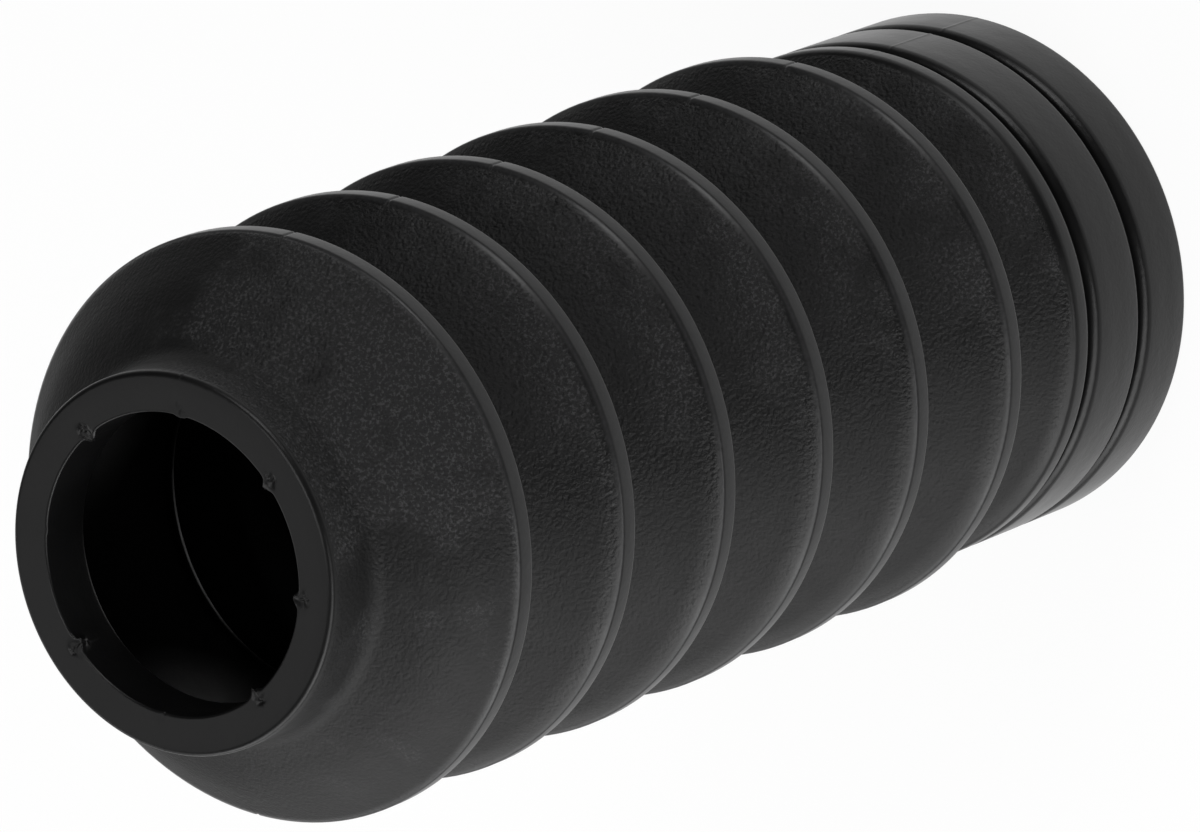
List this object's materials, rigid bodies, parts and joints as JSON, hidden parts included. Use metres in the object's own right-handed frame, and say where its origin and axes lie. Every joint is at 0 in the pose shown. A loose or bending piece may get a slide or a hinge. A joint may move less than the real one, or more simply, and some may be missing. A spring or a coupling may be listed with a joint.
{
  "type": "fork gaiter",
  "caption": "Black rubber bellows for a motorbike front fork: a thick-walled neck grips the stanchion and a wide grooved collar grips the lower leg.",
  "frame": {"origin": "centre of the wide collar's end face, on which the gaiter stands", "axes": "+Z along the gaiter's axis, from the wide collar to the small neck; +X and +Y are alike, apart from the mould's parting line in the XZ plane"},
  "size_m": [0.068, 0.068, 0.1635],
  "materials": {
    "black_rubber": "matt moulded rubber, fine-grained on the flanks, smoother and glossier on the neck's ring, the crests and the collar"
  },
  "bodies": {
    "root": {"fork_gaiter": "black_rubber"}
  },
  "joints": []
}
